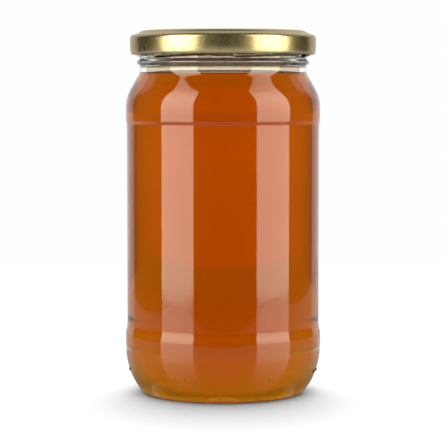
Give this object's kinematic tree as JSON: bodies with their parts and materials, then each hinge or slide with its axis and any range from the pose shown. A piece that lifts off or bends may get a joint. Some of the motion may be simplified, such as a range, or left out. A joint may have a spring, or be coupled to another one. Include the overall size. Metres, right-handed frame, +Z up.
{
  "type": "honey jar",
  "caption": "Round clear glass jar full of amber honey, with a recessed label panel and a gold twist-off lid.",
  "frame": {"origin": "middle of the base, on the surface the jar stands on", "axes": "+Z up along the jar's axis; -Y is the side the picture shows"},
  "size_m": [0.0894, 0.0894, 0.1654],
  "materials": {
    "glass": "clear moulded glass, polished",
    "honey": "clear liquid honey, amber orange",
    "lid_gold": "gold lacquer on tinplate, glossy"
  },
  "bodies": {
    "root": {"glass_jar": "glass", "honey": "honey", "lid": "lid_gold"}
  },
  "joints": []
}
